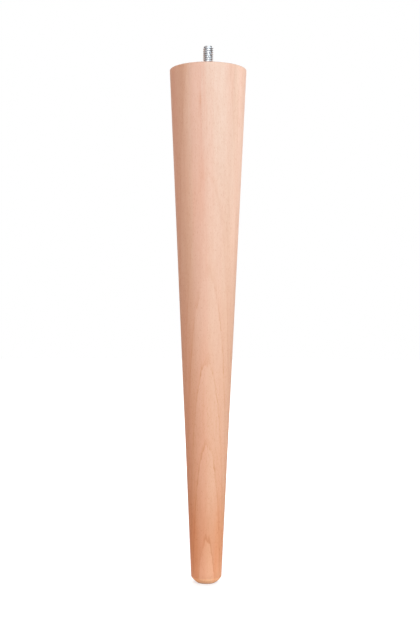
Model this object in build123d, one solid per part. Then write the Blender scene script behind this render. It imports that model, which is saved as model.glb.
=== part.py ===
from build123d import *

import os
from math import radians, tan

# A tapered furniture leg turned from one piece of beech, with a hanger bolt driven into its crown.
# Millimetres. The leg's axis is Z: its foot stands on z = 0 and the bolt's stud points up.

# The turned leg
LEG_HEIGHT = 600.0
CROWN_DIAMETER = 90.0
FOOT_DIAMETER = 35.0  # where the taper would meet the floor if the foot had no bevel
FOOT_BEVEL = 7.0  # height and depth of the bevel round the foot
BEVEL_SWELL = 0.6  # sanding leaves the middle of the bevel this far outside a straight line
CROWN_ROUND = 0.6  # radius of the eased arris round the crown

# The hanger bolt: a machine thread above the crown, a plain shank and a wood screw below it
THREAD_DIAMETER = 12.0
STUD_LENGTH = 28.5  # how far the machine thread stands out of the crown
TIP_CHAMFER = 1.5  # height and depth of the bevel round the stud's end, down to the thread's root
SHANK_LENGTH = 6.0
SHANK_DIAMETER = 10.8  # the bar that the threads were rolled from
SCREW_LENGTH = 44.0
SCREW_CORE_DIAMETER = 9.0
SCREW_POINT_LENGTH = 9.0

# The seat drilled for the bolt
SHANK_CLEARANCE = 0.1  # all round the shank
CORE_CLEARANCE = 0.05  # all round the core of the wood screw
DRILL_REACH = 4.0  # how far the pilot hole runs past the screw's point
DRILL_POINT_ANGLE = 118.0
MOUTH_COUNTERSINK = 1.0  # keeps the wood from lifting round the stud

SHOULDER_HEIGHT = LEG_HEIGHT - SHANK_LENGTH
SCREW_POINT_HEIGHT = SHOULDER_HEIGHT - SCREW_LENGTH


def turned(*outline):
    """The solid that a closed outline of (radius, height) sweeps round the leg's axis."""
    return revolve(Plane.XZ * make_face(outline), Axis.Z)


def bolt_seat():
    """The drilled hole: a countersunk mouth, a counterbore for the shank and a pilot for the screw."""
    shank_hole_radius = SHANK_DIAMETER / 2 + SHANK_CLEARANCE
    pilot_radius = SCREW_CORE_DIAMETER / 2 + CORE_CLEARANCE
    pilot_floor = SCREW_POINT_HEIGHT - DRILL_REACH
    drill_tip = pilot_floor - pilot_radius / tan(radians(DRILL_POINT_ANGLE / 2))
    return turned(
        Polyline(
            (0, LEG_HEIGHT),
            (shank_hole_radius + MOUTH_COUNTERSINK, LEG_HEIGHT),
            (shank_hole_radius, LEG_HEIGHT - MOUTH_COUNTERSINK),
            (shank_hole_radius, SHOULDER_HEIGHT),
            (pilot_radius, SHOULDER_HEIGHT),
            (pilot_radius, pilot_floor),
            (0, drill_tip),
            close=True,
        )
    )


def turned_leg():
    """The wooden leg: a straight taper with a bevelled foot, an eased crown and the bolt's seat."""
    crown_radius = CROWN_DIAMETER / 2
    foot_radius = FOOT_DIAMETER / 2
    bevel_radius = foot_radius + (crown_radius - foot_radius) * FOOT_BEVEL / LEG_HEIGHT
    foot_centre = (0, 0)
    foot_arris = (bevel_radius - FOOT_BEVEL, 0)
    bevel_arris = (bevel_radius, FOOT_BEVEL)
    crown_arris = (crown_radius, LEG_HEIGHT)
    crown_centre = (0, LEG_HEIGHT)
    blank = turned(
        Line(foot_centre, foot_arris),
        SagittaArc(foot_arris, bevel_arris, -BEVEL_SWELL),
        Polyline(bevel_arris, crown_arris, crown_centre, foot_centre),
    )
    crown_edge = blank.edges().group_by(Axis.Z)[-1]
    return fillet(crown_edge, CROWN_ROUND) - bolt_seat()


def hanger_bolt():
    """The steel bolt: a stud with a chamfered end, and a pointed wood screw below its shoulder."""
    thread_radius = THREAD_DIAMETER / 2
    shank_radius = SHANK_DIAMETER / 2
    core_radius = SCREW_CORE_DIAMETER / 2
    stud_tip = LEG_HEIGHT + STUD_LENGTH
    return turned(
        Polyline(
            (0, stud_tip),
            (thread_radius - TIP_CHAMFER, stud_tip),
            (thread_radius, stud_tip - TIP_CHAMFER),
            (thread_radius, LEG_HEIGHT),
            (shank_radius, LEG_HEIGHT),
            (shank_radius, SHOULDER_HEIGHT),
            (core_radius, SHOULDER_HEIGHT),
            (core_radius, SCREW_POINT_HEIGHT + SCREW_POINT_LENGTH),
            (0, SCREW_POINT_HEIGHT),
            close=True,
        )
    )


def main():
    os.makedirs("parts", exist_ok=True)
    export_step(turned_leg(), "parts/turned_leg.step")
    export_step(hanger_bolt(), "parts/hanger_bolt.step")


main()
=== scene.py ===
"""A tapered beech furniture leg and its hanger bolt, in their finishes, on a white studio floor."""
import math

import bmesh
import bpy
from bpy.props import FloatProperty, FloatVectorProperty, PointerProperty
from bpy.types import Operator, Panel, PropertyGroup
from mathutils import Euler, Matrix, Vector


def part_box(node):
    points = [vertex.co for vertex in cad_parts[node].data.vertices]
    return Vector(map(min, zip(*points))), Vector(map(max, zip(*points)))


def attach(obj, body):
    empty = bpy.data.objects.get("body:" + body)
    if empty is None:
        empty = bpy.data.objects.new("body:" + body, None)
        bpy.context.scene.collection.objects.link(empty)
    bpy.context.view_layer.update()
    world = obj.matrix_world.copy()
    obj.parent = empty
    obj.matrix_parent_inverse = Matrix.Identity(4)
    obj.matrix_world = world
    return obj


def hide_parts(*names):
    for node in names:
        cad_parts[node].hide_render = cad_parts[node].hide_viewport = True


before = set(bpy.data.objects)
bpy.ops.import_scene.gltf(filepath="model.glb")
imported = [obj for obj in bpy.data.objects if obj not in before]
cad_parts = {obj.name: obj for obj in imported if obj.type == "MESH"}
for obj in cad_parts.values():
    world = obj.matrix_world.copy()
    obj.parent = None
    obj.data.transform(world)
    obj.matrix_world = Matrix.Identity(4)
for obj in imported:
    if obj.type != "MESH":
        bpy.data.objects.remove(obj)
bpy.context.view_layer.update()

bl_info = {
    "name": "Tapered Furniture Leg",
    "version": (1, 0, 0),
    "blender": (4, 5, 0),
    "location": "3D View > Sidebar > Tapered Leg",
    "description": "Turns a tapered beech leg, threads its hanger bolt and sets them on a studio floor",
    "category": "Add Mesh",
}

ONE_BODY = "root"
LEG_NODE = "turned_leg"
BOLT_NODE = "hanger_bolt"

LEG_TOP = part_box(LEG_NODE)[1].z
BOLT_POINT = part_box(BOLT_NODE)[0].z
BOLT_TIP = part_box(BOLT_NODE)[1].z

# Millimetres in a metre
MILLIMETRES = 1000.0
FULL_TURN = 2 * math.pi
QUARTER_TURN = math.pi / 2
UP = Vector((0, 0, 1))

# How finely the meshes are cut, and how far an edge may bend before it is sharp
LEG_SECTORS = 192
TAPER_ROWS = 60
ARC_STEPS = 8
DISC_RINGS = 6
BOLT_SECTORS = 72
FLOOR_SECTORS = 96
SMOOTH_ANGLE = math.radians(35)
# The curve share * (1 - share), times this, peaks at one
PARABOLA = 4
# The numbers of the leg's two materials
SIDE_GRAIN = 0
END_GRAIN = 1

# The sockets of a Mix node for a share and two colours, and for the blended colour
MIX_INPUTS = (0, 6, 7)
MIX_RESULT = 2
# A noise value's middle, and about how far it swings to each side
NOISE_MIDDLE = 0.5
NOISE_SWING = 0.25

# Millimetres above the floor: where the foot's tone turns into the crown's, and how far that drifts
TONE_HEIGHTS = (50.0, 505.0)
TONE_DRIFT_REACH = 40.0
# Painted shade low on the leg, warmer and darker: where it fades out upwards, where it fades downwards,
# and what is left of it there
LOW_SHADE_HEIGHTS = (50.0, 130.0)
FOOT_FADE_HEIGHTS = (5.0, 45.0)
FOOT_FADE = 0.3
# The arches: where they fade out upwards, and what is left of them at the crown and in plain patches
FIGURE_HEIGHTS = (220.0, 420.0)
HIGH_FIGURE = 0.2
PLAIN_FIGURE = 0.35
# Shares of the bevel's height between which its paler tint, painted light, ends
BEVEL_LIGHT_EDGE = (0.9, 1.15)

# How far the growth rings leave true circles, in millimetres
RING_WANDER_REACH = 0.25
RING_TREMOR_REACH = 0.3
GOOD_YEARS_REACH = 0.29
# From one spell of good years to the next, in millimetres
GOOD_YEARS_SPELL = 10.5
# Shares of a ring: where its dark line starts and stops, and where spring wood turns into summer wood
LINE_START = (0.86, 0.98)
LINE_STOP = (0.98, 1.0)
SUMMER_START = (0.15, 1.0)
# What is left of a ring's line where it breaks
BROKEN_LINE = 0.15
# The places that the growth rings hand on to the rays
RAY_PLACES = ("Across", "Round", "Along")

# Painted shade, pinker and darker, on the left of the leg's upper part, in millimetres: its edge across,
# where it starts, its wander
SHADED_SIDE_EDGE = (-8.0, 0.0)
SHADED_SIDE_HEIGHTS = (330.0, 480.0)
SHADED_SIDE_WANDER = 3.0
# A pale strip that parts the painted shade: its soft edges across, in millimetres
PALE_STRIP_LEFT = (-35.0, -19.0)
PALE_STRIP_RIGHT = (-15.0, -7.0)
# Painted shade on the flanks, warmer and darker: how far round from the front it starts and ends, and how
# far that wanders
FLANK_SHADE_START = (math.radians(18), math.radians(40))
FLANK_SHADE_END = (math.radians(80), math.radians(120))
FLANK_SHADE_WANDER = 0.1
# How strong the painted shade on the right flank is beside the left one
RIGHT_FLANK_SHADE = 0.4
# Painted light on the right flank, a paler part: how far round it starts, and where it starts in
# millimetres up
LIT_FLANK_START = (math.radians(35), math.radians(65))
LIT_FLANK_HEIGHTS = (260.0, 430.0)
# A mineral streak near the crown: its middle across and up, and half its width and height, in millimetres
MINERAL_MIDDLE = (-8.4, 558.0)
MINERAL_HALF_SIZE = (2.2, 22.0)
# Shares of the streak's half size: where it fades out, and how far its edge frays
MINERAL_FADE = (0.1, 1.0)
MINERAL_FRAY = 0.4

# Noises: cells to a millimetre across, through and along the grain, and how much detail they have
TONE_DRIFT = ((0.02, 0.02, 0.006), 2.0)
RING_WANDER = ((0.012, 0.012, 0.004), 1.0)
RING_TREMOR = ((0.4, 0.4, 0.05), 4.0)
RING_BREAKS = ((0.11, 0.11, 0.03), 2.0)
FIGURE_PATCHES = ((0.035, 0.035, 0.008), 1.0)
BANDS = ((0.05, 0.05, 0.0016), 1.0)
STREAKS = ((0.25, 0.25, 0.006), 3.0)
THREADS = ((0.9, 0.9, 0.025), 3.0)
MOTTLE = ((0.35, 0.35, 0.12), 2.0)
FIBRES = ((3.0, 3.0, 0.08), 2.0)
TURNING_MARKS = ((0.05, 0.05, 2.2), 1.0)
PORES = ((4.0, 4.0, 0.3), 1.0)
ZINC_CLOUDS = ((0.6, 0.6, 0.6), 3.0)
ZINC_GRAIN = ((9.0, 9.0, 9.0), 2.0)
# The rays' noise has its cells along a ray, through it and up it
RAYS = ((0.08, 2.2, 0.35), 1.0)

# The noise values between which an effect comes in
RING_BREAK_LEVELS = (0.38, 0.62)
RAY_LEVELS = (0.58, 0.72)
BAND_LEVELS = (0.36, 0.64)
PATCH_LEVELS = (0.35, 0.65)
PORE_LEVELS = (0.60, 0.75)
STREAK_LEVELS = (0.2, 0.8)
CLOUD_LEVELS = (0.3, 0.7)

# Tints of the beech, each multiplied with the tone below it
BAND_PINK = (1.0, 0.96, 0.945, 1)
BAND_YELLOW = (1.0, 1.025, 1.015, 1)
STREAK_DARK = (0.97, 0.93, 0.90, 1)
STREAK_PALE = (1.02, 1.06, 1.09, 1)
THREAD_DARK = (0.96, 0.91, 0.87, 1)
THREAD_PALE = (1.03, 1.08, 1.11, 1)
MOTTLE_DARK = (0.97, 0.95, 0.93, 1)
MOTTLE_PALE = (1.02, 1.04, 1.06, 1)
RING_DARK = (0.99, 0.98, 0.97, 1)
RING_PALE = (1.01, 1.02, 1.03, 1)
SPRING_TINT = (1.015, 1.04, 1.05, 1)
SUMMER_TINT = (0.985, 0.945, 0.915, 1)
LATEWOOD_TINT = (0.90, 0.80, 0.70, 1)
RAY_TINT = (0.90, 0.80, 0.72, 1)
# Painted shade on the upper left side, and a paler strip that parts it
SHADED_SIDE_TINT = (1.0, 0.915, 0.89, 1)
PALE_STRIP_TINT = (1.06, 1.02, 1.01, 1)
# Painted shade on the flanks, and painted light on the right flank's paler part
FLANK_SHADE_TINT = (1.0, 0.93, 0.86, 1)
LIT_FLANK_TINT = (1.095, 1.095, 1.105, 1)
MINERAL_TINT = (0.93, 0.82, 0.72, 1)
# Painted shade, warmer and darker, low on the leg
LOW_SHADE_TINT = (0.965, 0.895, 0.825, 1)
# Painted light on the bevel, which faces the floor
BEVEL_LIGHT_TINT = (1.15, 1.26, 1.19, 1)
END_GRAIN_TINT = (0.76, 0.74, 0.70, 1)
END_LINE_TINT = (0.74, 0.63, 0.53, 1)
END_RAY_TINT = (1.10, 1.10, 1.08, 1)
PORE_TINT = (0.72, 0.62, 0.55, 1)

# Zinc plate: its colours, the root's darker one being painted shade, then in millimetres its radii at
# root and crest and its cropped end's depth
SHADED_ZINC_ROOT = (0.50, 0.51, 0.53, 1)
ZINC_CREST = (0.90, 0.93, 0.97, 1)
ZINC_EDGE = (0.45, 0.46, 0.48, 1)
ZINC_END = (0.62, 0.62, 0.62, 1)
ZINC_DULL = (0.86, 0.87, 0.88, 1)
ZINC_BRIGHT = (1.1, 1.1, 1.1, 1)
ZINC_RADII = (4.5, 5.9)
ZINC_END_DEPTH = 0.15
# How strongly the clouds in the plate show
ZINC_CLOUD_SHARE = 0.5

# Roughness from the smoothest to the roughest places
SIDE_GRAIN_ROUGHNESS = (0.52, 0.66)
END_GRAIN_ROUGHNESS = (0.62, 0.8)
ZINC_ROUGHNESS = (0.32, 0.46)
ZINC_END_ROUGHNESS = 0.6
RAW_WOOD_GLOSS = 0.3
# Reliefs: their strength, and their height in metres
FIBRE_RELIEF = (0.12, 0.0002)
PORE_RELIEF = (0.3, 0.0002)
ZINC_RELIEF = (0.08, 0.00005)
# How high the turning marks stand beside the fibres
TURNING_SHARE = 0.5

# An ISO metric outside thread across one pitch: share of the pitch, and share of the thread's depth
MACHINE_THREAD = [(0.06, 1.0), (0.375, 0.06), (0.44, 0.0), (0.56, 0.0), (0.625, 0.06), (0.94, 1.0)]
THREAD_DEPTH_RATIO = 0.6134
# A wood screw's thin, sharp thread, with as many points to a pitch
WOOD_THREAD = [(0.06, 0.0), (0.375, 0.0), (0.46, 0.9), (0.54, 0.9), (0.625, 0.0), (0.94, 0.0)]
# Where round the bolt a turn of its threads starts
THREAD_START = math.pi
# The wood screw's point: its blunt radius in metres, and how much sooner than its core the thread is full
SCREW_POINT_RADIUS = 0.0002
SCREW_THREAD_GROWTH = 1.5

# The floor, in metres: its reach, and the hole that the foot covers
FLOOR_REACH = 6.0
FLOOR_HOLE = 0.0106
# The part of the floor's white that the lamps make, and that the leg's shadow takes away
FLOOR_SHADOW = (0.42, 0.50, 0.55, 1)
# How much the floor glows beside the leg, and how far away it turns to plain white
FLOOR_GLOW = 0.66
FLOOR_FADE = (0.25, 1.2)
# How much light the floor throws back near the leg and far from it, and how far off that changes
FLOOR_BOUNCE_NEAR = 0.9
FLOOR_BOUNCE_FAR = 0.42
FLOOR_BOUNCE_REACH = (0.02, 0.09)
# What is left of that light behind the leg, and where it fades going back
FLOOR_BOUNCE_BEHIND = 0.45
FLOOR_BOUNCE_EDGE = (-0.05, 0.02)
# The light from all round, and from below, where it reaches only the foot's underside
AMBIENT_COLOUR = (1.0, 0.60, 0.48, 1)
AMBIENT_BELOW = (1.6, 1.6, 1.6, 1)
# Cards that only reflections see: turn round from the camera, distance, half width, low and top
DARK_CARDS = (
    (math.radians(180), 1.0, 1.6, 0.0, 0.45),
    (math.radians(180), 1.0, 1.6, 0.86, 1.15),
    (math.radians(-165), 0.2, 0.4, 0.0, 0.09),
)
GREY_CARDS = (
    (math.radians(-95), 1.2, 1.2, 0.0, 3.0),
    (math.radians(91), 1.2, 1.3, 0.0, 3.0),
)
DARK_CARD_COLOUR = (0.03, 0.03, 0.03, 1)
GREY_CARD_COLOUR = (0.28, 0.29, 0.29, 1)
BLACK = (0, 0, 0, 1)
WHITE = (1, 1, 1, 1)
# Lamps: turn round from the camera, distance, height, size, colour and whether reflections see them
LAMPS = {
    "key": (math.radians(46), 1.8, 0.65, (0.7, 1.4), (0.80, 0.94, 1.0), True),
    "fill": (math.radians(-45), 1.8, 0.65, (0.7, 1.4), (1.0, 0.87, 0.75), False),
    "front": (math.radians(2), 1.6, 0.65, (0.3, 1.5), (0.93, 1.0, 0.98), True),
    "back": (math.radians(180), 1.5, 1.9, (1.2, 1.2), (0.95, 1.0, 1.0), True),
    "left": (math.radians(-125), 1.1, 1.6, (0.6, 0.9), (1.0, 0.92, 0.86), False),
    "right": (math.radians(120), 1.1, 1.6, (0.6, 0.9), (1.0, 0.85, 0.75), False),
}


class LegSizes(PropertyGroup):
    """Sizes of the turned leg."""

    crown_diameter: FloatProperty(
        name="Crown diameter", description="Across the top of the taper", default=0.090, unit="LENGTH"
    )
    foot_diameter: FloatProperty(
        name="Foot diameter", description="Of the taper, run to the floor", default=0.035, unit="LENGTH"
    )
    foot_bevel: FloatProperty(
        name="Foot bevel", description="Height and depth of the bevel", default=0.007, unit="LENGTH"
    )
    bevel_swell: FloatProperty(
        name="Bevel swell", description="How far the bevel bows out", default=0.0006, unit="LENGTH"
    )
    crown_round: FloatProperty(
        name="Crown round", description="Radius of the crown's eased arris", default=0.0006, unit="LENGTH"
    )
    mouth_countersink: FloatProperty(
        name="Mouth countersink", description="Bevel round the bolt's hole", default=0.001, unit="LENGTH"
    )
    shank_clearance: FloatProperty(
        name="Shank clearance", description="Room round the bolt's shank", default=0.0001, unit="LENGTH"
    )
    core_clearance: FloatProperty(
        name="Core clearance", description="Room round the screw's core", default=0.00005, unit="LENGTH"
    )
    drill_reach: FloatProperty(
        name="Drill reach", description="How far the hole outruns the bolt", default=0.004, unit="LENGTH"
    )
    drill_angle: FloatProperty(
        name="Drill angle", description="Of the hole's point", default=math.radians(118), subtype="ANGLE"
    )


class BoltSizes(PropertyGroup):
    """Sizes of the hanger bolt."""

    thread_diameter: FloatProperty(
        name="Thread diameter", description="Over the crests of the stud", default=0.012, unit="LENGTH"
    )
    thread_pitch: FloatProperty(
        name="Thread pitch", description="From crest to crest on the stud", default=0.0025, unit="LENGTH"
    )
    tip_chamfer: FloatProperty(
        name="Tip chamfer", description="Bevel round the stud's end", default=0.0015, unit="LENGTH"
    )
    shank_diameter: FloatProperty(
        name="Shank diameter", description="Of the bar between the threads", default=0.0108, unit="LENGTH"
    )
    shank_length: FloatProperty(
        name="Shank length", description="From the crown to the shoulder", default=0.006, unit="LENGTH"
    )
    core_diameter: FloatProperty(
        name="Core diameter", description="Of the screw without its thread", default=0.009, unit="LENGTH"
    )
    screw_pitch: FloatProperty(
        name="Screw pitch", description="From crest to crest on the screw", default=0.005, unit="LENGTH"
    )
    screw_point: FloatProperty(
        name="Screw point", description="Length of the wood screw's point", default=0.009, unit="LENGTH"
    )


class BeechFinish(PropertyGroup):
    """Colours and figure of the beech."""

    crown_colour: FloatVectorProperty(
        name="Crown colour",
        description="Pale wood at the crown",
        default=(0.827, 0.608, 0.512),
        subtype="COLOR",
    )
    foot_colour: FloatVectorProperty(
        name="Foot colour",
        description="Warmer wood at the foot",
        default=(0.80, 0.45, 0.30),
        subtype="COLOR",
    )
    ring_spacing: FloatProperty(
        name="Ring spacing", description="Millimetres from one growth ring to the next", default=4.53
    )
    heart_distance: FloatProperty(
        name="Heart distance", description="Millimetres from the foot to the tree's heart", default=98.235
    )
    grain_slope: FloatProperty(
        name="Grain slope", description="How far the heart leans back for each length up", default=-0.09
    )
    figure: FloatProperty(
        name="Figure", description="How strongly the grain shows", default=1.0, subtype="FACTOR"
    )


class StageSettings(PropertyGroup):
    """The camera and the lamps; a lamp's level is how bright it makes a white card that faces it."""

    lens: FloatProperty(name="Lens", description="Focal length", default=58.26, unit="CAMERA")
    camera_distance: FloatProperty(
        name="Camera distance", description="From the leg's axis", default=1.1977, unit="LENGTH"
    )
    camera_height: FloatProperty(
        name="Camera height", description="Above the floor", default=0.3132, unit="LENGTH"
    )
    camera_turn: FloatProperty(
        name="Camera turn", description="How far it looks past the leg", default=0.00272, subtype="ANGLE"
    )
    camera_roll: FloatProperty(
        name="Camera roll", description="How far it leans", default=0.00364, subtype="ANGLE"
    )
    key_level: FloatProperty(name="Key level", description="Lamp right of the camera", default=0.455)
    fill_level: FloatProperty(name="Fill level", description="Lamp left of the camera", default=0.04)
    front_level: FloatProperty(name="Front level", description="Lamp behind the camera", default=0.40)
    back_level: FloatProperty(name="Back level", description="High lamp behind the leg", default=0.62)
    left_level: FloatProperty(name="Left level", description="High lamp on the far left", default=0.29)
    right_level: FloatProperty(name="Right level", description="High lamp on the far right", default=0.34)
    ambient_level: FloatProperty(name="Ambient level", description="Light from all round", default=0.45)


class Wiring:
    """Adds nodes to one tree and joins them."""

    def __init__(self, tree):
        self.tree = tree

    def add(self, kind, **settings):
        """A new node of that kind, with its settings."""
        node = self.tree.nodes.new(kind)
        for name, value in settings.items():
            setattr(node, name, value)
        return node

    def feed(self, socket, value):
        """Joins an output to a socket, or sets the socket to a plain value."""
        if isinstance(value, bpy.types.NodeSocket):
            self.tree.links.new(value, socket)
        else:
            socket.default_value = value

    def feed_all(self, sockets, values):
        """Feeds each socket its value, in order."""
        for socket, value in zip(sockets, values):
            self.feed(socket, value)

    def math(self, operation, *values):
        """The output of a math node."""
        node = self.add("ShaderNodeMath", operation=operation)
        self.feed_all(node.inputs, values)
        return node.outputs[0]

    def times(self, product, *values):
        """The values multiplied together."""
        for value in values:
            product = self.math("MULTIPLY", product, value)
        return product

    def hypotenuse(self, first, second):
        """The length of the long side over two sides at a right angle."""
        return self.math("SQRT", self.math("MULTIPLY_ADD", first, first, self.times(second, second)))

    def ramp(self, value, low, high, start=0.0, end=1.0, shape="SMOOTHSTEP"):
        """A change from start to end as value goes from low to high."""
        node = self.add("ShaderNodeMapRange", interpolation_type=shape)
        self.feed_all(node.inputs, (value, low, high, start, end))
        return node.outputs[0]

    def fall(self, value, low, high):
        """A smooth fall from one to nought as value goes from low to high."""
        return self.ramp(value, low, high, 1.0, 0.0)

    def blend(self, share, first, second, mode="MIX"):
        """Two colours blended by a share."""
        node = self.add("ShaderNodeMix", data_type="RGBA", blend_type=mode)
        self.feed_all([node.inputs[number] for number in MIX_INPUTS], (share, first, second))
        return node.outputs[MIX_RESULT]

    def tint(self, colour, share, tint):
        """A colour multiplied with a tint, by a share."""
        return self.blend(share, colour, tint, "MULTIPLY")

    def vector(self, x, y, z):
        """A vector of three values."""
        node = self.add("ShaderNodeCombineXYZ")
        self.feed_all(node.inputs, (x, y, z))
        return node.outputs[0]

    def scaled(self, place, factors):
        """A place multiplied along each axis."""
        node = self.add("ShaderNodeVectorMath", operation="MULTIPLY")
        self.feed_all(node.inputs, (place, factors))
        return node.outputs[0]

    def axes(self, place):
        """The three parts of a place."""
        node = self.add("ShaderNodeSeparateXYZ")
        self.feed(node.inputs[0], place)
        return node.outputs

    def place(self):
        """The place on the object, in metres."""
        return self.add("ShaderNodeTexCoord").outputs["Object"]

    def millimetres(self):
        """The place on the object, in millimetres."""
        return self.scaled(self.place(), (MILLIMETRES, MILLIMETRES, MILLIMETRES))

    def noise(self, place, cells, detail):
        """A noise value about one half, with so many cells to a millimetre along each axis."""
        node = self.add("ShaderNodeTexNoise", noise_dimensions="3D")
        self.feed(node.inputs["Vector"], self.scaled(place, cells))
        node.inputs["Scale"].default_value = 1.0
        node.inputs["Detail"].default_value = detail
        return node.outputs["Fac"]

    def offset(self, value, reach):
        """A noise value turned into one that swings about nought, by about reach to each side."""
        gain = reach / NOISE_SWING
        return self.math("MULTIPLY_ADD", value, gain, -NOISE_MIDDLE * gain)

    def relief(self, height, strength, distance):
        """A bumped normal from a height."""
        bump = self.add("ShaderNodeBump")
        bump.inputs["Strength"].default_value = strength
        bump.inputs["Distance"].default_value = distance
        self.feed(bump.inputs["Height"], height)
        return bump.outputs["Normal"]

    def either_shader(self, share, first, second):
        """A node for the first shader where the share is nought and for the second where it is one."""
        node = self.add("ShaderNodeMixShader")
        self.feed_all(node.inputs, (share, first.outputs[0], second.outputs[0]))
        return node

    def seen_directly(self):
        """One for what the camera, reflections and see-through surfaces see, nought for bounced light."""
        path = self.add("ShaderNodeLightPath")
        looks = self.math("MAXIMUM", path.outputs["Is Camera Ray"], path.outputs["Is Glossy Ray"])
        return self.math("MAXIMUM", looks, path.outputs["Is Transmission Ray"])


def new_group(name, inputs, outputs):
    """An empty shader node group with its sockets: (group, wiring, its input node, its output node)."""
    group = bpy.data.node_groups.new(name, "ShaderNodeTree")
    for socket, default in inputs.items():
        made = group.interface.new_socket(name=socket, in_out="INPUT", socket_type="NodeSocketFloat")
        made.default_value = default
    for socket in outputs:
        group.interface.new_socket(name=socket, in_out="OUTPUT", socket_type="NodeSocketFloat")
    wiring = Wiring(group)
    return group, wiring, wiring.add("NodeGroupInput"), wiring.add("NodeGroupOutput")


def place_group(wire, group, values):
    """A node that uses a group, with a value for each of its inputs."""
    node = wire.add("ShaderNodeGroup")
    node.node_tree = group
    for name, value in values.items():
        wire.feed(node.inputs[name], value)
    return node


def growth_rings_group():
    """Rings round a heart line that leans behind the leg, and places measured from that line."""
    group, wire, given, result = new_group(
        "Growth rings",
        {"Ring spacing": 1.0, "Heart distance": 0.0, "Grain slope": 0.0},
        ["Line", "Season", "Tone", *RAY_PLACES],
    )
    place = wire.millimetres()
    x, y, z = wire.axes(place)
    heart = wire.math("MULTIPLY_ADD", z, given.outputs["Grain slope"], given.outputs["Heart distance"])
    behind = wire.math("SUBTRACT", heart, y)
    distance = wire.hypotenuse(x, behind)
    slow = wire.offset(wire.noise(place, *RING_WANDER), RING_WANDER_REACH)
    quick = wire.offset(wire.noise(place, *RING_TREMOR), RING_TREMOR_REACH)
    years = wire.math("SINE", wire.times(distance, FULL_TURN / GOOD_YEARS_SPELL))
    moved = wire.math("MULTIPLY_ADD", years, GOOD_YEARS_REACH, wire.math("ADD", slow, quick))
    rings = wire.math("DIVIDE", wire.math("ADD", distance, moved), given.outputs["Ring spacing"])
    share = wire.math("FRACT", rings)
    tone = wire.add("ShaderNodeTexWhiteNoise", noise_dimensions="1D")
    wire.feed(tone.inputs["W"], wire.math("FLOOR", rings))
    broken = wire.ramp(wire.noise(place, *RING_BREAKS), *RING_BREAK_LEVELS, BROKEN_LINE, 1.0)
    results = {
        "Line": wire.times(wire.ramp(share, *LINE_START), wire.fall(share, *LINE_STOP), broken),
        "Season": wire.ramp(share, *SUMMER_START),
        "Tone": tone.outputs["Value"],
        "Across": distance,
        "Round": wire.times(wire.math("ARCTAN2", x, behind), distance),
        "Along": z,
    }
    for name, value in results.items():
        wire.feed(result.inputs[name], value)
    return group


def ray_flecks_group():
    """Rays that run out from the heart as thin ribbons, cut into dashes, flecks or lines."""
    group, wire, given, result = new_group("Ray flecks", dict.fromkeys(RAY_PLACES, 0.0), ["Fleck"])
    ribbon = wire.vector(*(given.outputs[name] for name in RAY_PLACES))
    wire.feed(result.inputs["Fleck"], wire.ramp(wire.noise(ribbon, *RAYS), *RAY_LEVELS))
    return group


def new_material(name):
    """A material with a Principled shader: (material, wiring, shader)."""
    material = bpy.data.materials.new(name)
    material.use_nodes = True
    return material, Wiring(material.node_tree), material.node_tree.nodes["Principled BSDF"]


def emptied_tree(owner):
    """The wiring of a material or a world whose nodes are taken out."""
    owner.use_nodes = True
    owner.node_tree.nodes.clear()
    return Wiring(owner.node_tree)


def wood_figure(wire, finish, rings, rays):
    """Places both groups of the beech in a material: (ring node, ray node, base tone by height)."""
    settings = {
        "Ring spacing": finish.ring_spacing,
        "Heart distance": finish.heart_distance,
        "Grain slope": finish.grain_slope,
    }
    ring = place_group(wire, rings, settings)
    ray = place_group(wire, rays, {name: ring.outputs[name] for name in RAY_PLACES})
    drift = wire.offset(wire.noise(wire.millimetres(), *TONE_DRIFT), TONE_DRIFT_REACH)
    height = wire.math("ADD", ring.outputs["Along"], drift)
    share = wire.ramp(height, *TONE_HEIGHTS, shape="LINEAR")
    return ring, ray, wire.blend(share, (*finish.foot_colour, 1), (*finish.crown_colour, 1))


def painted_shade_side(wire, place, wander):
    """Two masks on the leg's upper part: painted shade on its left side, and the pale strip that parts
    it.
    """
    x, _, z = wire.axes(place)
    across = wire.math("ADD", x, wire.offset(wander, SHADED_SIDE_WANDER))
    high_up = wire.ramp(z, *SHADED_SIDE_HEIGHTS)
    strip = wire.times(wire.ramp(across, *PALE_STRIP_LEFT), wire.fall(across, *PALE_STRIP_RIGHT))
    shaded_left = wire.times(wire.fall(across, *SHADED_SIDE_EDGE), wire.math("SUBTRACT", 1.0, strip))
    return wire.times(shaded_left, high_up), wire.times(strip, high_up)


def shaded_flanks(wire, place, wander):
    """Masks of painted shade on the leg's flanks, the left one and the right one, and of painted light on
    the right one's paler part.
    """
    x, y, z = wire.axes(place)
    turn = wire.math("ABSOLUTE", wire.math("ARCTAN2", x, wire.times(y, -1.0)))
    frayed = wire.math("ADD", turn, wire.offset(wander, FLANK_SHADE_WANDER))
    both = wire.times(wire.ramp(frayed, *FLANK_SHADE_START), wire.fall(frayed, *FLANK_SHADE_END))
    left = wire.times(both, wire.math("LESS_THAN", x, 0.0))
    right = wire.math("SUBTRACT", both, left)
    pale = wire.times(wire.ramp(frayed, *LIT_FLANK_START), wire.ramp(z, *LIT_FLANK_HEIGHTS))
    return left, right, wire.times(right, pale)


def mineral_streak(wire, place, wander):
    """A soft upright spot on the front of the leg, frayed by a noise."""
    x, y, z = wire.axes(place)
    spans = zip((x, z), MINERAL_MIDDLE, MINERAL_HALF_SIZE)
    shares = [wire.math("DIVIDE", wire.math("SUBTRACT", at, middle), half) for at, middle, half in spans]
    away = wire.math("ADD", wire.hypotenuse(*shares), wire.offset(wander, MINERAL_FRAY))
    return wire.times(wire.fall(away, *MINERAL_FADE), wire.math("LESS_THAN", y, 0.0))


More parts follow.
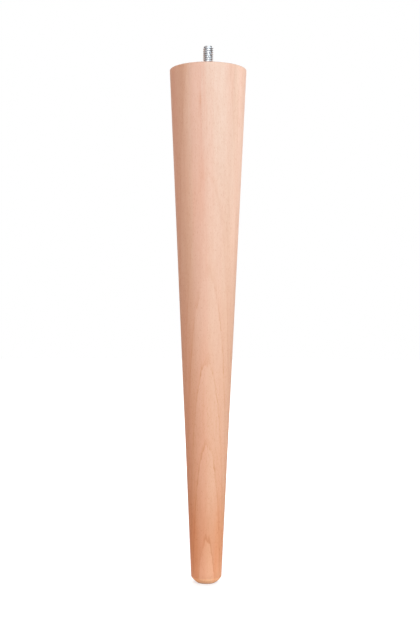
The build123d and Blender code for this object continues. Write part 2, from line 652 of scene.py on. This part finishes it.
def side_grain_colour(wire, place, streak, finish, bevel_height, rings, rays):
    """The turned side's colour: faint arches, long streaks and ray dashes, warmer towards the foot, with
    painted shade on its left, flanks and low end, and painted light on the bevel and right flank.
    """
    ring, ray, colour = wood_figure(wire, finish, rings, rays)
    height = ring.outputs["Along"]
    band = wire.ramp(wire.noise(place, *BANDS), *BAND_LEVELS)
    colour = wire.tint(colour, finish.figure, wire.blend(band, BAND_PINK, BAND_YELLOW))
    # Painted shade, pinker and darker, on the left of the upper part, parted by a paler strip
    shaded_left, strip = painted_shade_side(wire, place, streak)
    colour = wire.tint(colour, shaded_left, SHADED_SIDE_TINT)
    colour = wire.tint(colour, strip, PALE_STRIP_TINT)
    shades = (
        (streak, STREAK_DARK, STREAK_PALE),
        (wire.noise(place, *THREADS), THREAD_DARK, THREAD_PALE),
        (wire.noise(place, *MOTTLE), MOTTLE_DARK, MOTTLE_PALE),
        (ring.outputs["Tone"], RING_DARK, RING_PALE),
    )
    for share, dark, light in shades:
        colour = wire.tint(colour, finish.figure, wire.blend(share, dark, light))
    low_down = wire.ramp(height, *FIGURE_HEIGHTS, 1.0, HIGH_FIGURE)
    patch = wire.ramp(wire.noise(place, *FIGURE_PATCHES), *PATCH_LEVELS, PLAIN_FIGURE, 1.0)
    season = wire.blend(ring.outputs["Season"], SPRING_TINT, SUMMER_TINT)
    colour = wire.tint(colour, wire.times(low_down, patch, finish.figure), season)
    colour = wire.tint(colour, mineral_streak(wire, place, streak), MINERAL_TINT)
    colour = wire.tint(colour, wire.times(ring.outputs["Line"], low_down, finish.figure), LATEWOOD_TINT)
    colour = wire.tint(colour, wire.times(ray.outputs["Fleck"], finish.figure), RAY_TINT)
    # Painted shade low on the leg, darker and warmer, with less of it at the very foot
    shaded_low_end = wire.fall(height, *LOW_SHADE_HEIGHTS)
    low_shade = wire.times(shaded_low_end, wire.ramp(height, *FOOT_FADE_HEIGHTS, FOOT_FADE, 1.0))
    colour = wire.tint(colour, low_shade, LOW_SHADE_TINT)
    # Painted shade on both flanks, stronger on the left and again low down, and painted light on the
    # right flank's upper part
    left, right, pale = shaded_flanks(wire, place, streak)
    colour = wire.tint(colour, wire.math("MULTIPLY_ADD", right, RIGHT_FLANK_SHADE, left), FLANK_SHADE_TINT)
    colour = wire.tint(colour, wire.times(wire.math("ADD", left, right), shaded_low_end), FLANK_SHADE_TINT)
    colour = wire.tint(colour, pale, LIT_FLANK_TINT)
    # Painted light: the bevel, which faces the floor, made paler
    bevel = wire.fall(height, *(bevel_height * share for share in BEVEL_LIGHT_EDGE))
    return wire.tint(colour, bevel, BEVEL_LIGHT_TINT)


def side_grain_beech(finish, bevel_height, rings, rays):
    """The turned side of the leg, with a relief of fibres and turning marks."""
    material, wire, shader = new_material("beech_side_grain")
    place = wire.millimetres()
    streak = wire.noise(place, *STREAKS)
    colour = side_grain_colour(wire, place, streak, finish, bevel_height, rings, rays)
    wire.feed(shader.inputs["Base Color"], colour)
    wire.feed(shader.inputs["Roughness"], wire.ramp(streak, *STREAK_LEVELS, *SIDE_GRAIN_ROUGHNESS))
    shader.inputs["Specular IOR Level"].default_value = RAW_WOOD_GLOSS
    fibre = wire.noise(place, *FIBRES)
    height = wire.math("MULTIPLY_ADD", wire.noise(place, *TURNING_MARKS), TURNING_SHARE, fibre)
    wire.feed(shader.inputs["Normal"], wire.relief(height, *FIBRE_RELIEF))
    return material


def end_grain_beech(finish, rings, rays):
    """The sawn crown, the foot and the hole: the same rings and rays seen end on, darker and porous."""
    material, wire, shader = new_material("beech_end_grain")
    ring, ray, colour = wood_figure(wire, finish, rings, rays)
    colour = wire.tint(colour, 1.0, END_GRAIN_TINT)
    colour = wire.tint(colour, ring.outputs["Line"], END_LINE_TINT)
    colour = wire.tint(colour, ray.outputs["Fleck"], END_RAY_TINT)
    pores = wire.ramp(wire.noise(wire.millimetres(), *PORES), *PORE_LEVELS)
    wire.feed(shader.inputs["Base Color"], wire.tint(colour, pores, PORE_TINT))
    wire.feed(shader.inputs["Roughness"], wire.ramp(pores, 0.0, 1.0, *END_GRAIN_ROUGHNESS))
    shader.inputs["Specular IOR Level"].default_value = RAW_WOOD_GLOSS
    wire.feed(shader.inputs["Normal"], wire.relief(wire.math("SUBTRACT", 1.0, pores), *PORE_RELIEF))
    return material


def zinc_plate():
    """Bright zinc on rolled steel, darker in the thread's roots with painted shade, and rough on the
    cropped end.
    """
    material, wire, shader = new_material("bright_zinc_plate")
    place = wire.millimetres()
    x, y, z = wire.axes(place)
    crest = wire.ramp(wire.hypotenuse(x, y), *ZINC_RADII)
    cloud = wire.noise(place, *ZINC_CLOUDS)
    # Painted shade: the thread's roots darker than its crests
    colour = wire.blend(crest, SHADED_ZINC_ROOT, ZINC_CREST)
    colour = wire.tint(colour, ZINC_CLOUD_SHARE, wire.blend(cloud, ZINC_DULL, ZINC_BRIGHT))
    end_height = BOLT_TIP * MILLIMETRES - ZINC_END_DEPTH
    cropped = wire.ramp(z, end_height, end_height + ZINC_END_DEPTH / 2)
    wire.feed(shader.inputs["Base Color"], wire.tint(colour, cropped, ZINC_END))
    shader.inputs["Metallic"].default_value = 1.0
    shader.inputs["Specular Tint"].default_value = ZINC_EDGE
    plated = wire.ramp(cloud, *CLOUD_LEVELS, *ZINC_ROUGHNESS)
    wire.feed(shader.inputs["Roughness"], wire.ramp(cropped, 0.0, 1.0, plated, ZINC_END_ROUGHNESS))
    wire.feed(shader.inputs["Normal"], wire.relief(wire.noise(place, *ZINC_GRAIN), *ZINC_RELIEF))
    return material


def paint(piece, *materials):
    """Gives a piece its materials, in the order of its faces' material numbers."""
    for material in materials:
        piece.data.materials.append(material)


def finished_object(name, mesh):
    """A linked object from a bmesh, with its normals outwards and its arrises sharp."""
    bmesh.ops.recalc_face_normals(mesh, faces=mesh.faces)
    for face in mesh.faces:
        face.smooth = True
    for edge in mesh.edges:
        edge.smooth = edge.calc_face_angle(0.0) < SMOOTH_ANGLE
    data = bpy.data.meshes.new(name)
    mesh.to_mesh(data)
    mesh.free()
    made = bpy.data.objects.new(name, data)
    bpy.context.scene.collection.objects.link(made)
    return made


def straight_run(start, end, steps):
    """Points between start and end, without those two."""
    start, end = Vector(start), Vector(end)
    return [tuple(start.lerp(end, step / steps)) for step in range(1, steps)]


def bowed_run(start, end, swell, steps):
    """Points between start and end, without those two, on a bow that swells to the right of the way."""
    start, end = Vector(start), Vector(end)
    chord = end - start
    outward = Vector((chord.y, -chord.x)).normalized()
    shares = [step / steps for step in range(1, steps)]
    return [tuple(start + chord * at + outward * PARABOLA * swell * at * (1 - at)) for at in shares]


def eased_arris(leg, slope):
    """Points of (radius, height) round the crown's arris, from the taper to the flat top."""
    lean = math.atan(slope)
    bend = QUARTER_TURN + lean
    reach = leg.crown_round * math.tan(bend / 2)
    crown_radius = leg.crown_diameter / 2
    start = (crown_radius - reach * math.sin(lean), LEG_TOP - reach * math.cos(lean))
    end = (crown_radius - reach, LEG_TOP)
    middle = LEG_TOP - leg.crown_round
    turns = [-lean + bend * step / ARC_STEPS for step in range(1, ARC_STEPS)]
    arc = [
        (end[0] + leg.crown_round * math.cos(turn), middle + leg.crown_round * math.sin(turn))
        for turn in turns
    ]
    return [start, *arc, end]


def bolt_seat(leg, bolt):
    """Points of (radius, height) down the bolt's hole, from its mouth to the drill's point."""
    hole_radius = bolt.shank_diameter / 2 + leg.shank_clearance
    pilot_radius = bolt.core_diameter / 2 + leg.core_clearance
    shoulder = LEG_TOP - bolt.shank_length
    pilot_floor = BOLT_POINT - leg.drill_reach
    return [
        (hole_radius + leg.mouth_countersink, LEG_TOP),
        (hole_radius, LEG_TOP - leg.mouth_countersink),
        (hole_radius, shoulder),
        (pilot_radius, shoulder),
        (pilot_radius, pilot_floor),
        (0.0, pilot_floor - pilot_radius / math.tan(leg.drill_angle / 2)),
    ]


def leg_outline(leg, bolt):
    """The leg's half-section from the foot's centre up to the crown and down the bolt's hole.

    A list of (radius, height, grain), where the grain is that of the run that starts at the point.
    """
    foot_radius = leg.foot_diameter / 2
    slope = (leg.crown_diameter / 2 - foot_radius) / LEG_TOP
    bevel_top = (foot_radius + slope * leg.foot_bevel, leg.foot_bevel)
    foot_edge = (bevel_top[0] - leg.foot_bevel, 0.0)
    foot_centre = (0.0, 0.0)
    arris = eased_arris(leg, slope)
    seat = bolt_seat(leg, bolt)
    stretches = (
        ([foot_centre, *straight_run(foot_centre, foot_edge, DISC_RINGS), foot_edge], END_GRAIN),
        ([*bowed_run(foot_edge, bevel_top, leg.bevel_swell, ARC_STEPS), bevel_top], SIDE_GRAIN),
        ([*straight_run(bevel_top, arris[0], TAPER_ROWS), arris[0]], SIDE_GRAIN),
        ([*arris[1:], *straight_run(arris[-1], seat[0], DISC_RINGS), *seat], END_GRAIN),
    )
    return [(*point, grain) for points, grain in stretches for point in points]


def lathe(name, outline, sectors):
    """A closed mesh swept round the Z axis from points of (radius, height, material).

    The outline starts and ends on the axis.
    """
    mesh = bmesh.new()
    rings = []
    for radius, height, _ in outline:
        count = sectors if radius > 0 else 1
        turns = [FULL_TURN * sector / sectors for sector in range(count)]
        points = [(radius * math.cos(turn), radius * math.sin(turn), height) for turn in turns]
        rings.append([mesh.verts.new(point) for point in points])
    for lower, upper, (_, _, material) in zip(rings, rings[1:], outline):
        for sector in range(sectors):
            after = (sector + 1) % sectors
            corners = [lower[sector % len(lower)], lower[after % len(lower)]]
            corners += [upper[after % len(upper)], upper[sector % len(upper)]]
            face = mesh.faces.new(list(dict.fromkeys(corners)))
            face.material_index = material
    return finished_object(name, mesh)


def thread_rows(start, end, pitch, profile):
    """Whole turns from start past end, and where they stop.

    A turn is rows of (height, share of the thread's depth).
    """
    rows = []
    while start < end:
        rows += [(start + share * pitch, depth) for share, depth in profile]
        start += pitch
    return rows, start


def bolt_rows(bolt):
    """Rows of both threads, with a crest of the stud at the middle of its tip's bevel."""
    shoulder = LEG_TOP - bolt.shank_length
    first_turn = BOLT_POINT - bolt.screw_pitch
    screw, screw_end = thread_rows(first_turn, shoulder, bolt.screw_pitch, WOOD_THREAD)
    last_crest = BOLT_TIP - bolt.tip_chamfer / 2
    turns = math.floor((last_crest - screw_end) / bolt.thread_pitch)
    first_crest = last_crest - bolt.thread_pitch * turns
    stud, _ = thread_rows(first_crest, BOLT_TIP + bolt.thread_pitch, bolt.thread_pitch, MACHINE_THREAD)
    return screw + stud


def clamped(value):
    """The value, kept between nought and one."""
    return min(1.0, max(0.0, value))


def bolt_radius(bolt, height, depth):
    """The bolt's radius at a height, for a point at that share of its thread's depth."""
    crest = bolt.thread_diameter / 2
    root = crest - THREAD_DEPTH_RATIO * bolt.thread_pitch
    core = bolt.core_diameter / 2
    shank = bolt.shank_diameter / 2
    if height < LEG_TOP - bolt.shank_length:
        rise = clamped((height - BOLT_POINT) / bolt.screw_point)
        grown = min(1.0, SCREW_THREAD_GROWTH * rise)
        return max(SCREW_POINT_RADIUS, (core + (crest - core) * depth * grown) * rise)
    started = clamped((height - LEG_TOP) / bolt.thread_pitch)
    threaded = root + (crest - root) * depth
    tip_cone = crest - bolt.tip_chamfer + max(0.0, BOLT_TIP - height)
    return min(shank + (threaded - shank) * started, tip_cone)


def threaded_bolt(name, bolt):
    """The bolt as one closed mesh whose rows climb with its threads."""
    rows = bolt_rows(bolt)
    step = len(MACHINE_THREAD)
    mesh = bmesh.new()
    grid = []
    for (low, depth), (high, _) in zip(rows, rows[step:]):
        ring = []
        for sector in range(BOLT_SECTORS):
            share = sector / BOLT_SECTORS
            height = low + (high - low) * share
            radius = bolt_radius(bolt, height, depth)
            turn = THREAD_START + FULL_TURN * share
            ring.append(mesh.verts.new((radius * math.cos(turn), radius * math.sin(turn), height)))
        grid.append(ring)
    last = BOLT_SECTORS - 1
    for index, (ring, above) in enumerate(zip(grid, grid[1:])):
        for sector in range(last):
            mesh.faces.new((ring[sector], ring[sector + 1], above[sector + 1], above[sector]))
        if index + step + 1 < len(grid):
            mesh.faces.new((ring[last], grid[index + step][0], grid[index + step + 1][0], above[last]))
    for height, outward in ((BOLT_TIP, UP), (BOLT_POINT, -UP)):
        geometry = mesh.verts[:] + mesh.edges[:] + mesh.faces[:]
        bmesh.ops.bisect_plane(
            mesh, geom=geometry, plane_co=(0, 0, height), plane_no=outward, clear_outer=True
        )
    rim = [edge for edge in mesh.edges if edge.is_boundary]
    bmesh.ops.holes_fill(mesh, edges=rim, sides=0)
    return finished_object(name, mesh)


class TAPERED_LEG_OT_turn(Operator):
    """Turn the beech leg on its axis and give it side grain and end grain"""

    bl_idname = "tapered_leg.turn"
    bl_label = "Turn the leg"

    def execute(self, context):
        scene = context.scene
        outline = leg_outline(scene.leg_sizes, scene.bolt_sizes)
        piece = lathe("beech_leg", outline, LEG_SECTORS)
        rings = growth_rings_group()
        rays = ray_flecks_group()
        bevel_height = scene.leg_sizes.foot_bevel * MILLIMETRES
        side_grain = side_grain_beech(scene.beech_finish, bevel_height, rings, rays)
        paint(piece, side_grain, end_grain_beech(scene.beech_finish, rings, rays))
        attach(piece, ONE_BODY)
        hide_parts(LEG_NODE)
        return {"FINISHED"}


class TAPERED_LEG_OT_thread(Operator):
    """Cut the hanger bolt with its two threads and plate it with zinc"""

    bl_idname = "tapered_leg.thread"
    bl_label = "Thread the bolt"

    def execute(self, context):
        piece = threaded_bolt("threaded_hanger_bolt", context.scene.bolt_sizes)
        paint(piece, zinc_plate())
        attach(piece, ONE_BODY)
        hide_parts(BOLT_NODE)
        return {"FINISHED"}


def floor_finish():
    """White where it is seen, with the leg's shadow; pale where light bounces; see-through from below."""
    material = bpy.data.materials.new("white_floor")
    wire = emptied_tree(material)
    place = wire.place()
    length = wire.add("ShaderNodeVectorMath", operation="LENGTH")
    wire.feed(length.inputs[0], place)
    away = length.outputs["Value"]
    shadow = wire.add("ShaderNodeBsdfDiffuse")
    shadow.inputs["Color"].default_value = FLOOR_SHADOW
    glow = wire.add("ShaderNodeEmission")
    wire.feed(glow.inputs["Strength"], wire.ramp(away, *FLOOR_FADE, FLOOR_GLOW, 1.0))
    shown = wire.add("ShaderNodeAddShader")
    wire.feed_all(shown.inputs, (shadow.outputs[0], glow.outputs[0]))
    bounce = wire.add("ShaderNodeBsdfDiffuse")
    paleness = wire.ramp(away, *FLOOR_BOUNCE_REACH, FLOOR_BOUNCE_NEAR, FLOOR_BOUNCE_FAR)
    _, back, _ = wire.axes(place)
    in_front = wire.ramp(back, *FLOOR_BOUNCE_EDGE, 1.0, FLOOR_BOUNCE_BEHIND)
    wire.feed(bounce.inputs["Color"], wire.times(paleness, in_front))
    chosen = wire.either_shader(wire.seen_directly(), bounce, shown)
    below = wire.add("ShaderNodeNewGeometry").outputs["Backfacing"]
    one_sided = wire.either_shader(below, chosen, wire.add("ShaderNodeBsdfTransparent"))
    wire.feed(wire.add("ShaderNodeOutputMaterial").inputs["Surface"], one_sided.outputs[0])
    return material


def white_floor():
    """A wide floor; a hole that the foot covers lets light reach the foot's underside."""
    mesh = bmesh.new()
    for radius in (FLOOR_REACH, FLOOR_HOLE):
        bmesh.ops.create_circle(mesh, segments=FLOOR_SECTORS, radius=radius)
    bmesh.ops.bridge_loops(mesh, edges=mesh.edges[:])
    floor = finished_object("floor", mesh)
    if floor.data.polygons[0].normal.z < 0:
        floor.data.flip_normals()
    paint(floor, floor_finish())


def reflected_cards(name, cards, colour):
    """Cards round the leg that give its edges and the thread's sides something darker to reflect."""
    mesh = bmesh.new()
    for turn, distance, half_width, low, top in cards:
        out = Vector((math.sin(turn), -math.cos(turn), 0))
        middle = distance * out
        aside = half_width * Vector((-out.y, out.x, 0))
        corners = [middle - aside + low * UP, middle + aside + low * UP]
        corners += [middle + aside + top * UP, middle - aside + top * UP]
        mesh.faces.new([mesh.verts.new(corner) for corner in corners])
    card = finished_object(name, mesh)
    card.visible_camera = False
    card.visible_diffuse = False
    card.visible_transmission = False
    card.visible_shadow = False
    material, _, shader = new_material(name)
    shader.inputs["Base Color"].default_value = BLACK
    shader.inputs["Emission Color"].default_value = colour
    shader.inputs["Emission Strength"].default_value = 1.0
    paint(card, material)


def white_world(level):
    """A world that shows white and lights the leg softly from all round."""
    world = bpy.data.worlds.new("white_world")
    wire = emptied_tree(world)
    light = wire.add("ShaderNodeBackground")
    _, _, rise = wire.axes(wire.add("ShaderNodeTexCoord").outputs["Generated"])
    below = wire.math("LESS_THAN", rise, 0.0)
    wire.feed(light.inputs["Color"], wire.blend(below, AMBIENT_COLOUR, AMBIENT_BELOW))
    light.inputs["Strength"].default_value = level
    white = wire.add("ShaderNodeBackground")
    white.inputs["Color"].default_value = WHITE
    chosen = wire.either_shader(wire.seen_directly(), light, white)
    wire.feed(wire.add("ShaderNodeOutputWorld").inputs["Surface"], chosen.outputs[0])
    bpy.context.scene.world = world


def soft_lamp(name, level, turn, distance, height, size, colour, mirrored):
    """A lamp, at an angle round from the camera's side, that points at the middle of the leg.

    Its level is its power divided by the squares of pi and of its distance from there.
    """
    data = bpy.data.lights.new(name, "AREA")
    data.shape = "RECTANGLE"
    data.size, data.size_y = size
    data.color = colour
    place = Vector((distance * math.sin(turn), -distance * math.cos(turn), height))
    aim = UP * LEG_TOP / 2 - place
    data.energy = level * math.pi**2 * aim.length_squared
    lamp = bpy.data.objects.new(name, data)
    lamp.location = place
    lamp.rotation_euler = aim.to_track_quat("-Z", "Y").to_euler()
    lamp.visible_camera = False
    lamp.visible_glossy = mirrored
    bpy.context.scene.collection.objects.link(lamp)


def photo_camera(stage):
    """A level camera in front of the leg, at the photograph's viewing angle."""
    data = bpy.data.cameras.new("camera")
    data.lens = stage.lens
    camera = bpy.data.objects.new("camera", data)
    camera.location = (0, -stage.camera_distance, stage.camera_height)
    camera.rotation_euler = Euler((QUARTER_TURN, -stage.camera_roll, -stage.camera_turn))
    bpy.context.scene.collection.objects.link(camera)
    bpy.context.scene.camera = camera


class TAPERED_LEG_OT_stage(Operator):
    """Set the floor, the lamps and the camera round the leg"""

    bl_idname = "tapered_leg.stage"
    bl_label = "Set the stage"

    def execute(self, context):
        stage = context.scene.stage_settings
        white_floor()
        reflected_cards("dark_cards", DARK_CARDS, DARK_CARD_COLOUR)
        reflected_cards("grey_cards", GREY_CARDS, GREY_CARD_COLOUR)
        white_world(stage.ambient_level)
        for name, placing in LAMPS.items():
            soft_lamp(name + "_lamp", getattr(stage, name + "_level"), *placing)
        photo_camera(stage)
        context.scene.view_settings.view_transform = "Standard"
        return {"FINISHED"}


class TAPERED_LEG_PT_sidebar(Panel):
    """The leg's sizes and finishes, with a button for each step"""

    bl_idname = "TAPERED_LEG_PT_sidebar"
    bl_label = "Tapered Leg"
    bl_space_type = "VIEW_3D"
    bl_region_type = "UI"
    bl_category = "Tapered Leg"

    def draw(self, context):
        for groups, step in STEPS:
            box = self.layout.box()
            for group in groups:
                settings = getattr(context.scene, group)
                for name in settings.__annotations__:
                    box.prop(settings, name)
            box.operator(step.bl_idname)


STEPS = (
    (("leg_sizes", "beech_finish"), TAPERED_LEG_OT_turn),
    (("bolt_sizes",), TAPERED_LEG_OT_thread),
    (("stage_settings",), TAPERED_LEG_OT_stage),
)
SETTINGS = {
    "leg_sizes": LegSizes,
    "bolt_sizes": BoltSizes,
    "beech_finish": BeechFinish,
    "stage_settings": StageSettings,
}
CLASSES = (*SETTINGS.values(), *(step for _, step in STEPS), TAPERED_LEG_PT_sidebar)


def register():
    for each in CLASSES:
        bpy.utils.register_class(each)
    for name, group in SETTINGS.items():
        setattr(bpy.types.Scene, name, PointerProperty(type=group))


def unregister():
    for name in SETTINGS:
        delattr(bpy.types.Scene, name)
    for each in reversed(CLASSES):
        bpy.utils.unregister_class(each)


def main():
    register()
    bpy.ops.tapered_leg.turn()
    bpy.ops.tapered_leg.thread()
    bpy.ops.tapered_leg.stage()


if __name__ == "__main__":
    main()
